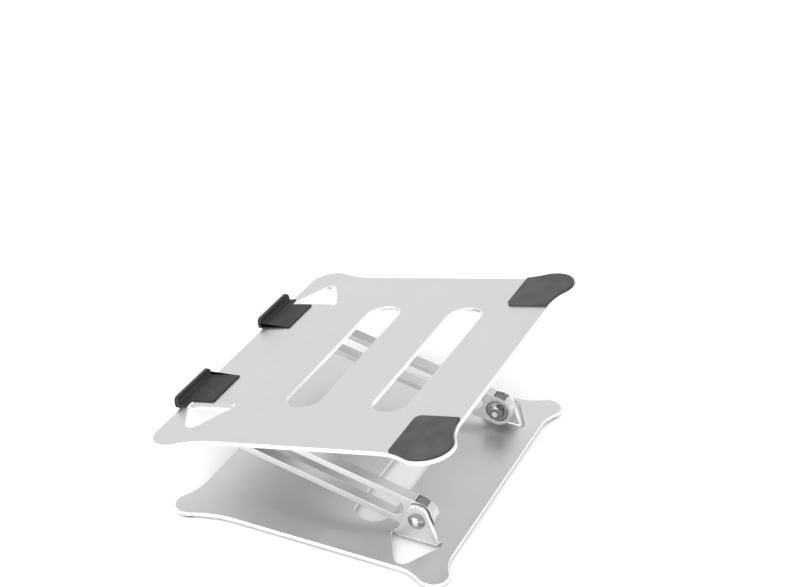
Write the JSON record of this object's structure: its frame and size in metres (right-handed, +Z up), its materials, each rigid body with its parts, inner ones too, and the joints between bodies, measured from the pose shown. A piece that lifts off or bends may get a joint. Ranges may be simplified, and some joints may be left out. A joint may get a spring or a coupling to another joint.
{
  "type": "laptop stand",
  "caption": "Folding two-plate laptop stand: lobed base plate, pair of slotted flat arms on friction hinges and a tilting top plate with front hooks and rubber pads.",
  "frame": {"origin": "desk surface, under the middle of the standing object's bounding box", "axes": "+X to the user's right, +Y away from the user to the rear, +Z up; the stand is the same on both sides of the YZ plane"},
  "size_m": [0.2604, 0.2248, 0.1131],
  "materials": {
    "satin_aluminium": "bead-blasted and anodised silver",
    "bright_steel": "polished, bright plated",
    "grey_rubber": "matte dark grey silicone",
    "bearing_nylon": "plain moulded",
    "bearing_bronze": "plain turned"
  },
  "bodies": {
    "base": {"base_bolt_left": "bright_steel", "base_bolt_right": "bright_steel", "base_disc_spring_left": "bright_steel", "base_disc_spring_right": "bright_steel", "base_ear_washer_left": "bearing_nylon", "base_ear_washer_right": "bearing_nylon", "base_flat_washer_left": "bright_steel", "base_flat_washer_right": "bright_steel", "base_lock_nut_left": "bright_steel", "base_lock_nut_right": "bright_steel", "base_nut_insert_left": "bearing_nylon", "base_nut_insert_right": "bearing_nylon", "base_plate": "satin_aluminium", "base_well_washer_left": "bearing_nylon", "base_well_washer_right": "bearing_nylon", "foot_front_left": "grey_rubber", "foot_front_right": "grey_rubber", "foot_rear_left": "grey_rubber", "foot_rear_right": "grey_rubber"},
    "arms": {"arm_bumper_left": "grey_rubber", "arm_bumper_right": "grey_rubber", "arm_bush_front_left": "bearing_bronze", "arm_bush_front_right": "bearing_bronze", "arm_bush_rear_left": "bearing_bronze", "arm_bush_rear_right": "bearing_bronze", "arm_left": "satin_aluminium", "arm_right": "satin_aluminium"},
    "top": {"hook_pad_left": "grey_rubber", "hook_pad_right": "grey_rubber", "rear_pad_left": "grey_rubber", "rear_pad_right": "grey_rubber", "top_bolt_left": "bright_steel", "top_bolt_right": "bright_steel", "top_disc_spring_left": "bright_steel", "top_disc_spring_right": "bright_steel", "top_ear_washer_left": "bearing_nylon", "top_ear_washer_right": "bearing_nylon", "top_flat_washer_left": "bright_steel", "top_flat_washer_right": "bright_steel", "top_lock_nut_left": "bright_steel", "top_lock_nut_right": "bright_steel", "top_nut_insert_left": "bearing_nylon", "top_nut_insert_right": "bearing_nylon", "top_plate": "satin_aluminium", "top_well_washer_left": "bearing_nylon", "top_well_washer_right": "bearing_nylon"}
  },
  "joints": [
    {"name": "arm_raise", "type": "hinge", "parent": "base", "child": "arms", "pos_m": [0, 0.0724, 0.0202], "axis": [-1, 0, 0], "range_deg": [-11.8, 30]},
    {"name": "top_tilt", "type": "hinge", "parent": "arms", "child": "top", "pos_m": [0, -0.07835, 0.05169], "axis": [1, 0, 0], "range_deg": [-24.3, 65.7]}
  ]
}
